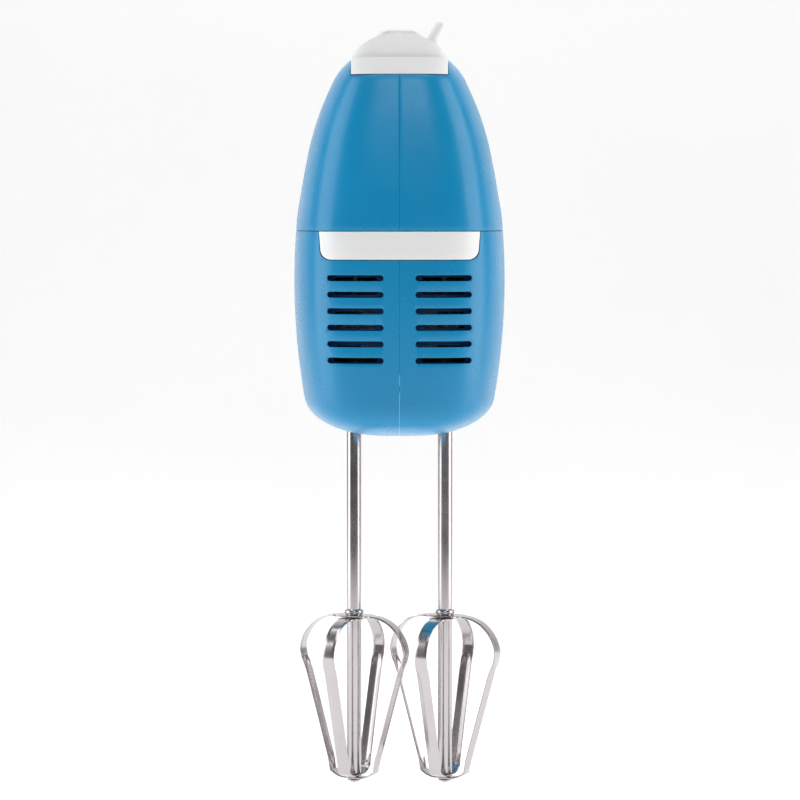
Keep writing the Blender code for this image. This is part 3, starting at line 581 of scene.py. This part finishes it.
def plan_ring(z, half_width, half_length, power, count):
    """A rounded rectangle in plan, with evenly spread points."""
    ring = []
    for i in range(count):
        angle = 2 * math.pi * i / count
        c, s = math.cos(angle), math.sin(angle)
        reach = (abs(c) ** power + abs(s) ** power) ** (-1 / power)
        ring.append((half_width * c * reach, BODY_Y0 + half_length * s * reach, z))
    return ring


def inset_value(profile, z, inset, outward):
    return min(profile(z) - inset, profile(z + outward * inset)) if inset else profile(z)


def lower_form(name, inset=0.0, top=SEAM_Z - GAP / 2, count=RING_POINTS):
    bottom = BELLY_TOP_Z - BELLY_DEPTH * BELLY_END + inset
    belly, walls = 26, 16
    knee = BELLY_TOP_Z + 2
    levels = [bottom + (knee - bottom) * (step / belly) ** 2.2 for step in range(belly)]
    levels += [knee + (top - knee) * step / walls for step in range(walls + 1)]
    rings = [plan_ring(z, inset_value(lower_width, z, inset, -1), inset_value(lower_length, z, inset, -1),
                       BODY_POWER, count) for z in levels]
    return loft(name, rings)


def upper_form(name, inset=0.0, bottom=SEAM_Z + GAP / 2, count=RING_POINTS):
    walls, cap = 24, 16
    levels = [bottom + (CROWN_Z - bottom) * step / walls for step in range(walls + 1)]
    top = CROWN_Z + CROWN_DEPTH * CROWN_END - inset
    levels += [CROWN_Z + (top - CROWN_Z) * math.sin(math.pi / 2 * step / cap) for step in range(1, cap + 1)]
    rings = []
    for z in levels:
        ring = plan_ring(z, inset_value(upper_width, z, inset, 1), inset_value(upper_length, z, inset, 1),
                         plan_power(z), count)
        rings.append([(x * narrowing(y, z), y, z + arch(y, z)) for x, y, z in ring])
    return loft(name, rings, ridge=True)


def width_at(y, z):
    reach = min(abs(y - BODY_Y0) / upper_length(z), 0.999)
    power = plan_power(z)
    return upper_width(z) * (1 - reach ** power) ** (1 / power) * narrowing(y, z)


def finger_outline(steps=14, straight=16):
    middle = [(low + high) / 2 for low, high in (FINGER_Y, FINGER_Z)]
    half = [(high - low) / 2 - FINGER_CORNER for low, high in (FINGER_Y, FINGER_Z)]
    points = []
    for quarter, (side_y, side_z) in enumerate(((1, 1), (-1, 1), (-1, -1), (1, -1))):
        for step in range(steps + 1):
            angle = (quarter + step / steps) * math.pi / 2
            normal = (math.cos(angle), math.sin(angle))
            points.append((middle[0] + side_y * half[0] + FINGER_CORNER * normal[0],
                           middle[1] + side_z * half[1] + FINGER_CORNER * normal[1], *normal))
        if quarter in (0, 2):
            last = points[-1]
            for step in range(1, straight):
                points.append((last[0] - 2 * side_y * half[0] * step / straight, *last[1:]))
    return points


def finger_form(name, inset=0.0, steps=9):
    turns = [math.pi / 2 * step / steps for step in range(steps, -1, -1)]
    stations = [(-1, None)] + [(-1, turn) for turn in turns]
    stations += [(1, turn) for turn in turns[::-1]] + [(1, None)]
    rings = []
    for side, turn in stations:
        ring = []
        for y, z, normal_y, normal_z in finger_outline():
            rounding = FINGER_ROUND_END + (FINGER_ROUND_TOP - FINGER_ROUND_END) * max(normal_z, 0.0)
            rounding += (FINGER_ROUND_DECK - FINGER_ROUND_END) * max(-normal_z, 0.0)
            radius = rounding - inset
            offset = inset + radius * (1 - math.cos(math.pi / 2 if turn is None else turn))
            reach = REACH if turn is None else width_at(y, z) - rounding + radius * math.sin(turn)
            ring.append((side * reach, y + offset * normal_y, z + offset * normal_z + arch(y, z)))
        rings.append(ring)
    return loft(name, rings)


# ---------------------------------------------------------------- casings

def stadium(length, height, centre):
    return rounded_outline(length / 2, height / 2, height / 2 - 0.001, centre)


def trim_outline(clearance=0.0):
    """The nose insert from the front: square at the top, round at the bottom."""
    half = TRIM_HALF_WIDTH + clearance
    low = TRIM_BOTTOM_Z - clearance
    top = SEAM_Z - (GAP / 2 if clearance == 0 else -TRIM_OPENING_REACH)
    corner, steps = TRIM_CORNER, 10
    points = [(half, top)]
    for side in (1, -1):
        turns = range(steps + 1) if side > 0 else range(steps, -1, -1)
        for step in turns:
            angle = math.pi / 2 * step / steps
            points.append((side * (half - TRIM_DRAFT - corner + corner * math.cos(angle)),
                           low + corner - corner * math.sin(angle)))
    points.append((-half, top))
    return points


def screw_side(y, z):
    """Where the casing's left side is at a screw."""
    if z < SEAM_Z:
        reach = abs(y - BODY_Y0) / lower_length(z)
        return -lower_width(z) * (1 - reach ** BODY_POWER) ** (1 / BODY_POWER)
    return -width_at(y, z)


def add_screw_posts(shell, upper):
    """Posts right across the casing, each with a recessed hole from the left for its screw."""
    places = [place for place in SCREWS if (place[1] > SEAM_Z) == upper]
    for y, z in places:
        side = screw_side(y, z)
        join(shell, rod("post", POST_RADIUS, (side + POST_INSET, y, z), (-side - POST_INSET, y, z)))
        hole = rod("hole", SCREW_HOLE_RADIUS, (side + SCREW_HOLE_START, y, z), (SCREW_HOLE_END_X, y, z), 24)
        cut(shell, hole, rod("recess", SCREW_RECESS_RADIUS, (side - SCREW_CUT_REACH, y, z),
                             (side + SCREW_RECESS_DEPTH, y, z)))


def split(shell, nodes):
    """Part a casing at the middle plane and round the edges of both halves."""
    for side, node in zip((-1, 1), nodes):
        half = copy_of(node + "_half", shell)
        near, far = sorted((side * PARTING / 2, -side * SIDE_CUT_X))
        cut(half, box("other_side", (near, NOSE_CUT_Y, LOW_CUT_Z), (far, HEEL_CUT_Y, TOP_CUT_Z)))
        dress(soften(half, 0.28), node)
    bpy.data.objects.remove(shell, do_unlink=True)


def make_lower_housing():
    hollow = lower_form("lower_hollow", WALL, SEAM_Z + HOLLOW_REACH, HOLLOW_POINTS)
    shell = cut(lower_form("lower_body"), hollow)
    trim = copy_of("trim", shell)
    combine(trim, "INTERSECT", prism("trim_shape", trim_outline(), 1, NOSE_CUT_Y, TRIM_CUT_Y))
    dress(soften(trim, 0.4), "front_trim")
    add_screw_posts(shell, upper=False)
    cut(shell, prism("trim_opening", trim_outline(GAP), 1, NOSE_CUT_Y, TRIM_CUT_Y))
    for side in (-1, 1):
        slots = []
        for row in range(SLOT_ROWS):
            centre = (side * SLOT_X, SLOT_TOP_Z - row * SLOT_PITCH)
            slots.append(prism("vent_slot", stadium(SLOT_LENGTH, SLOT_HEIGHT, centre), 1,
                               NOSE_CUT_Y, SLOT_DEPTH_Y))
        low, high = node_box("beater_shaft_left" if side < 0 else "beater_shaft_right")
        port = ((low.x + high.x) / 2, (low.y + high.y) / 2)
        cut(shell, *slots, rod("beater_port", PORT_RADIUS, (*port, PORT_Z[0]), (*port, PORT_Z[1])))
    pocket = rounded_outline(PAD_HALF_WIDTH + GAP, PAD_HALF_HEIGHT + GAP, PAD_CORNER + GAP, (0, PAD_Z))
    cut(shell, prism("heel_pocket", pocket, 1, PAD_POCKET_Y, HEEL_CUT_Y))
    cut(shell, rod("gland_hole", GLAND_HOLE_RADIUS, (0, GLAND_HOLE_Y, GLAND_Z), (0, HEEL_CUT_Y, GLAND_Z)))
    split(shell, ("lower_housing_left", "lower_housing_right"))


def make_upper_shell():
    hollow = upper_form("upper_hollow", WALL, SEAM_Z - HOLLOW_REACH, HOLLOW_POINTS)
    cut(hollow, finger_form("finger_wall", WALL))
    shell = cut(upper_form("upper_body"), finger_form("finger_space"))
    cut(shell, hollow)
    add_screw_posts(shell, upper=True)
    low, high = node_box("eject_button")
    centre = ((low.x + high.x) / 2, (low.y + high.y) / 2)
    half_x, half_y = (high.x - low.x) / 2 + BUTTON_PLAY, (high.y - low.y) / 2 + BUTTON_PLAY
    hole = rounded_outline(half_x, half_y, BUTTON_CORNER + BUTTON_PLAY, centre)
    cut(shell, prism("button_hole", hole, 2, BUTTON_HOLE_Z, TOP_CUT_Z),
        box("cover_notch", (-COVER_HALF_WIDTH - GAP, NOSE_CUT_Y, COVER_BOTTOM_Z - GAP),
            (COVER_HALF_WIDTH + GAP, COVER_BACK_Y + GAP, TOP_CUT_Z)))
    split(shell, ("upper_shell_left", "upper_shell_right"))


def front_prism(name, inset, low, high):
    """The plan of the handle's top, pushed up along Z."""
    half_width = upper_width(COVER_BOTTOM_Z) + COVER_SPARE - inset
    half_length = upper_length(COVER_BOTTOM_Z) - inset
    ring = plan_ring(low, half_width, half_length, plan_power(COVER_BOTTOM_Z), COVER_POINTS)
    return prism(name, [point[:2] for point in ring], 2, low, high)


def barrel(name, radius):
    """A round bar along the lever's pivot line."""
    front, back = BARREL_Y
    return rod(name, radius, (0, front, PIVOT_Z), (0, back, PIVOT_Z), COVER_POINTS)


def make_control_cover():
    """White cap on the nose end of the handle: a front band and a half-round dome."""
    cover = front_prism("cover", 0, COVER_BOTTOM_Z, COVER_BAND_Z)
    dome = front_prism("dome", COVER_SETBACK, COVER_BOTTOM_Z, COVER_CUT_Z)
    combine(dome, "INTERSECT", barrel("outer_barrel", DOME_RADIUS))
    join(cover, dome)
    combine(cover, "INTERSECT", box("block", (-COVER_HALF_WIDTH, NOSE_CUT_Y, COVER_BOTTOM_Z),
                                    (COVER_HALF_WIDTH, COVER_BACK_Y, TOP_CUT_Z)))
    hollow = front_prism("hollow", COVER_SETBACK + WALL, COVER_BOTTOM_Z - HOLLOW_REACH, COVER_CUT_Z)
    inside = COVER_HALF_WIDTH - WALL
    combine(hollow, "INTERSECT", barrel("inner_barrel", DOME_RADIUS - WALL),
            box("inner_block", (-inside, NOSE_CUT_Y, COVER_BOTTOM_Z - 2 * HOLLOW_REACH),
                (inside, COVER_BACK_Y - WALL, TOP_CUT_Z)))
    half_slot = LEVER_RADIUS + LEVER_PLAY
    cut(cover, hollow, box("lever_slot", (-LEVER_SWEEP, PIVOT_Y - half_slot, LEVER_SLOT_Z),
                           (LEVER_SWEEP, PIVOT_Y + half_slot, COVER_CUT_Z)))
    dress(soften(cover, 0.5, segments=3), "control_cover")


def make_controls():
    """Speed lever and eject button."""
    pivot = Vector((0, PIVOT_Y, PIVOT_Z))
    profile = []
    for turn in range(0, 91, 5):
        sine, cosine = math.sin(math.radians(turn)), math.cos(math.radians(turn))
        profile.append((LEVER_RADIUS * sine, LEVER_LENGTH - LEVER_RADIUS * (1 - cosine)))
    lever = turned("lever", profile + [(LEVER_RADIUS, LEVER_ROOT), (0, LEVER_ROOT)], steps=48)
    swing = Matrix.Rotation(LEVER_ANGLE, 4, "Y") @ Matrix.Rotation(LEVER_TURN, 4, "Z")
    lever.data.transform(Matrix.Translation(pivot * MM) @ swing)
    half = HUB_LENGTH / 2
    profile = ((HUB_RADIUS, half), (HUB_RADIUS, -half), (HUB_BORE, -half), (HUB_BORE, half))
    hub = turned("hub", profile, pivot, along_y=True, steps=40, bored=True)
    dress(soften(join(lever, hub), 0.2), "speed_lever")

    low, high = node_box("eject_button")
    middle, half = (low + high) / 2, (high - low) / 2
    outline = rounded_outline(half.x, half.y, BUTTON_CORNER, (0, 0), 12)
    rings = []
    turns = [2 * math.pi * i / len(outline) for i in range(len(outline))]
    for z in (low.z + POCKET_DEPTH, low.z):
        rings.append([(middle.x + POCKET_RADIUS * math.cos(turn), middle.y + POCKET_RADIUS * math.sin(turn), z)
                      for turn in turns])
    foot = ((None, 0.4), (None, 0.0))
    round_edge = ((1.2, 0.0), (0.6, 0.1), (0.3, 0.3), (0.1, 0.6), (0.0, 1.1))
    arched_top = ((0.0, 2.5), (0.0, 4.0), (0.0, 5.5), (0.0, 6.4))
    for drop, inset in foot + round_edge + arched_top:
        ring = []
        for x, y in outline:
            x, y = x * (1 - inset / half.x), y * (1 - inset / half.y)
            if drop is None:
                z = low.z + 0.4 - inset
            else:
                z = high.z - drop - BUTTON_BOW + math.sqrt(BUTTON_BOW ** 2 - x * x)
            ring.append((middle.x + x, middle.y + y, z))
        rings.append(ring)
    dress(shade(loft("button", rings), 50), "eject_button")


def make_end_fittings():
    """Ribbed heel pad, cord gland, air baffle and the screws."""
    low, high = node_box("heel_pad")
    centre = ((low.x + high.x) / 2, (low.z + high.z) / 2)
    outline = rounded_outline((high.x - low.x) / 2, (high.z - low.z) / 2, PAD_CORNER, centre)
    pad = prism("pad", outline, 1, low.y, high.y)
    for i in range(RIBS):
        z = low.z + RIB_MARGIN + (high.z - low.z - 2 * RIB_MARGIN) * i / (RIBS - 1)
        groove = stadium(RIB_LENGTH, RIB_WIDTH, (centre[0], z))
        cut(pad, prism("rib_groove", groove, 1, high.y - RIB_DEPTH, high.y + 2))
    dress(soften(pad, 0.3), "heel_pad")

    low, high = node_box("cord_gland")
    centre = ((low.x + high.x) / 2, GLAND_Y, (low.z + high.z) / 2)
    profile = [(6.3, 3.1), (6.8, 2.8), (6.9, 2.3), (6.9, 1.4), (5.3, 1.4), (5.3, -4.0), (3.4, -4.0), (3.4, 2.5),
               (3.7, 2.9), (4.2, 3.1)]
    dress(shade(turned("gland", profile, centre, along_y=True, bored=True), 50), "cord_gland")

    low, high = node_box("air_baffle")
    baffle = box("baffle", low, high)
    for side in (-1, 1):
        for z in BAFFLE_WINDOWS_Z:
            window = rounded_outline(*BAFFLE_WINDOW_HALF, BAFFLE_WINDOW_CORNER, (side * BAFFLE_WINDOW_X, z), 4)
            cut(baffle, prism("baffle_window", window, 1, low.y - 2, high.y + 2))
    dress(soften(baffle, 0.2), "air_baffle")

    for number, (y, z) in enumerate(SCREWS, 1):
        head = screw_side(y, z) + SCREW_SINK
        profile = ((0, -0.1), (1.6, 0.0), (2.7, -0.25), (3.2, -0.7), (3.3, -1.2), (3.3, -2.2), (1.5, -2.4),
                   (1.5, head - 9), (0, head - 11))
        screw = turned("screw", profile, steps=32)
        for turn in (0, 90):
            slot = box("driver_slot", *DRIVER_SLOT)
            slot.data.transform(Matrix.Rotation(math.radians(turn + 20 * number), 4, "Z"))
            cut(screw, slot)
        place = Matrix.Translation(Vector((head, y, z)) * MM)
        screw.data.transform(place @ Matrix.Rotation(-math.pi / 2, 4, "Y"))
        dress(shade(screw), "housing_screw_%d" % number)


# ---------------------------------------------------------------- beaters

def through(points, steps=5):
    """Points along a smooth curve through the given ones."""
    result = []
    for i in range(len(points) - 1):
        p0, p1 = Vector(points[max(i - 1, 0)]), Vector(points[i])
        p2, p3 = Vector(points[i + 1]), Vector(points[min(i + 2, len(points) - 1)])
        for step in range(steps):
            t = step / steps
            result.append(0.5 * (2 * p1 + (p2 - p0) * t + (2 * p0 - 5 * p1 + 4 * p2 - p3) * t ** 2
                                 + (3 * p1 - p0 - 3 * p2 + p3) * t ** 3))
    return result + [Vector(points[-1])]


def strip_section(half, crease):
    """Section across a strip with round edges and a fold: (offset across, depth inwards)."""
    thick = STRIP_THICKNESS
    edge = thick / 2
    outer, inner = [], []
    for share in (-1.0, -0.55, -0.16, 0.0, 0.16, 0.55, 1.0):
        across = share * (half - edge)
        fold = crease * (max(abs(share), 0.07) - RIDGE_SHARE)
        outer.append((across, fold))
        inner.append((across, fold + thick))
    side = crease * (1 - RIDGE_SHARE) + edge
    ends = [(half - edge + edge * math.sin(math.radians(turn)), side - edge * math.cos(math.radians(turn)))
            for turn in (40, 90, 140)]
    starts = [(-across, depth) for across, depth in ends[::-1]]
    return outer + ends + inner[::-1] + starts


def strip_loop(node, angle, axis, top_drop, bottom_rise):
    """A flat strip bent into a closed loop, folded along its middle where it is straight."""
    top, bottom = CAGE_PROFILE[0][1], CAGE_PROFILE[-1][1]
    share = (top - top_drop - bottom - bottom_rise) / (top - bottom)
    side = [Vector((point.x, bottom + bottom_rise + (point.y - bottom) * share))
            for point in through(CAGE_PROFILE)]
    path = side + [Vector((-point.x, point.y)) for point in side[::-1]]
    along = Vector((math.cos(angle), math.sin(angle), 0))
    across = Vector((-math.sin(angle), math.cos(angle), 0))
    rings = []
    for i, point in enumerate(path):
        step = (path[(i + 1) % len(path)] - path[i - 1]).normalized()
        inward = Vector((step.y, -step.x))
        eye = 1 - smooth(*EYE_FADE, abs(point.x)) if point.y > EYE_Z else 0
        half = (STRIP_WIDTH + (STRIP_EYE_WIDTH - STRIP_WIDTH) * eye) / 2
        crease = CREASE_DEPTH * smooth(*CREASE_FOOT_Z, point.y) * (1 - smooth(*CREASE_HEAD_Z, point.y))
        ring = []
        for offset, depth in strip_section(half, crease):
            place = point + inward * depth
            ring.append(axis + along * place.x + across * offset + Vector((0, 0, place.y)))
        rings.append(ring)
    loop = loft(node + "_loop", rings, cyclic=True)
    cut(loop, rod("eye", BEATER_SHAFT_RADIUS + GAP, *(axis + Vector((0, 0, z)) for z in EYE_CUT_Z)),
        rod("tail_eye", TAIL_EYE_RADIUS, *(axis + Vector((0, 0, z)) for z in TAIL_CUT_Z), 32))
    return dress(shade(loop, 32), node)


def make_beater(word):
    low, high = node_box("beater_shaft_" + word)
    axis = Vector(((low.x + high.x) / 2, (low.y + high.y) / 2, 0))
    r, top = BEATER_SHAFT_RADIUS, high.z
    end = ((0, top), (r - 0.8, top), (r - 0.2, top - 0.3), (r, top - 0.8))
    collar = ((r, 75.0), (r + 0.25, 74.7), (r + 0.85, 74.4), (r + 1.0, 74.1), (r + 1.0, 73.2), (r + 0.8, 72.9),
              (r, 72.7))
    foot = ((r, 4.4), (r - 0.2, 4.1), (1.8, 4.0), (1.8, 1.6), (2.8, 1.5), (2.9, 1.2), (2.6, 0.75), (1.8, 0.5),
            (0, 0.4))
    shaft = turned("shaft", end + collar + foot, axis)
    for i in range(3):
        turn = 2 * math.pi * i / 3 + 0.4
        dot = axis + PEENED_OFFSET * Vector((math.cos(turn), math.sin(turn), 0))
        join(shaft, rod("peened_dot", PEENED_RADIUS, *(dot + Vector((0, 0, z)) for z in PEENED_Z), 16))
    dress(shade(shaft, 35), "beater_shaft_" + word)
    nested = STRIP_THICKNESS + GAP
    strip_loop("beater_outer_loop_" + word, -CAGE_ANGLE, axis, 0.0, 0.0)
    strip_loop("beater_inner_loop_" + word, math.pi / 2 - CAGE_ANGLE, axis, nested, nested)


# ---------------------------------------------------------------- stage

def make_stage():
    """Pale floor that sweeps up into a pale backdrop."""
    profile = [(SWEEP_FRONT_Y, 0.0), (SWEEP_BEND_Y, 0.0)]
    steps = 12
    for step in range(1, steps + 1):
        angle = math.pi / 2 * step / steps
        profile.append((SWEEP_BEND_Y + SWEEP_RADIUS * math.sin(angle), SWEEP_RADIUS * (1 - math.cos(angle))))
    profile.append((SWEEP_BEND_Y + SWEEP_RADIUS, SWEEP_TOP_Z))
    bm = bmesh.new()
    rows = [[bm.verts.new((x, y, z - FLOOR_DROP)) for x in (-SWEEP_HALF_WIDTH, SWEEP_HALF_WIDTH)]
            for y, z in profile]
    for low, high in zip(rows, rows[1:]):
        bm.faces.new((low[0], low[1], high[1], high[0]))
    mesh = bpy.data.meshes.new("sweep")
    bm.to_mesh(mesh)
    bm.free()
    sweep = add_object("sweep", mesh)
    sweep.data.shade_smooth()
    look = Nodes("pale_paper")
    look.link(look.ramp(look.noise(3.0, 3), 0.84, 0.87), look.shader.inputs["Base Color"])
    look.set(Roughness=0.85, Emission_Color=(1, 1, 1, 1), Emission_Strength=0.5)
    look.bump((look.noise(500), 0.2, 0.1))
    sweep.data.materials.append(look.material)


def softbox(name, place, size, power, colour=(1, 1, 1)):
    """A rectangular soft light aimed at the body."""
    light = bpy.data.lights.new(name, "AREA")
    light.shape = "RECTANGLE"
    light.size, light.size_y = size
    light.energy = power
    light.color = colour
    lamp = bpy.data.objects.new(name, light)
    lamp.location = place
    lamp.rotation_euler = (LIGHT_TARGET - Vector(place)).to_track_quat("-Z", "Y").to_euler()
    looks.objects.link(lamp)


def make_lights():
    softbox("left_box", (-1.15, -0.15, 0.45), (0.9, 1.4), 9, (0.96, 0.98, 1.0))
    softbox("right_box", (1.15, -0.15, 0.45), (0.9, 1.4), 9, (1.0, 0.985, 0.96))
    softbox("top_box", (0, -0.1, 1.5), (1.3, 1.3), 11.5)
    softbox("front_fill", (0.1, -1.9, 1.5), (0.8, 0.5), 5)
    world = bpy.data.worlds.new("studio")
    world.use_nodes = True
    world.node_tree.nodes["Background"].inputs["Color"].default_value = (0.14, 0.14, 0.14, 1)
    bpy.context.scene.world = world


def make_camera():
    """Level with the deck, looking at the nose end."""
    camera = bpy.data.cameras.new("camera")
    eye = bpy.data.objects.new("camera", camera)
    looks.objects.link(eye)
    eye.location = (CAMERA_AIM.x, CAMERA_AIM.y - CAMERA_DISTANCE, CAMERA_HEIGHT)
    gaze = CAMERA_AIM - eye.location
    eye.rotation_euler = gaze.to_track_quat("-Z", "Y").to_euler()
    camera.sensor_width = SENSOR_WIDTH
    camera.lens = SENSOR_WIDTH * gaze.length / CAMERA_SPAN
    bpy.context.scene.camera = eye


make_lower_housing()
make_upper_shell()
make_control_cover()
make_controls()
make_end_fittings()
for side_word in ("left", "right"):
    make_beater(side_word)
for hidden_name, hidden in frame["nodes"].items():
    hidden.data.materials.clear()
    hidden.data.materials.append(LOOKS[NODE_SLOTS[hidden_name]])
make_stage()
make_lights()
make_camera()
bpy.context.scene.view_settings.view_transform = "Standard"
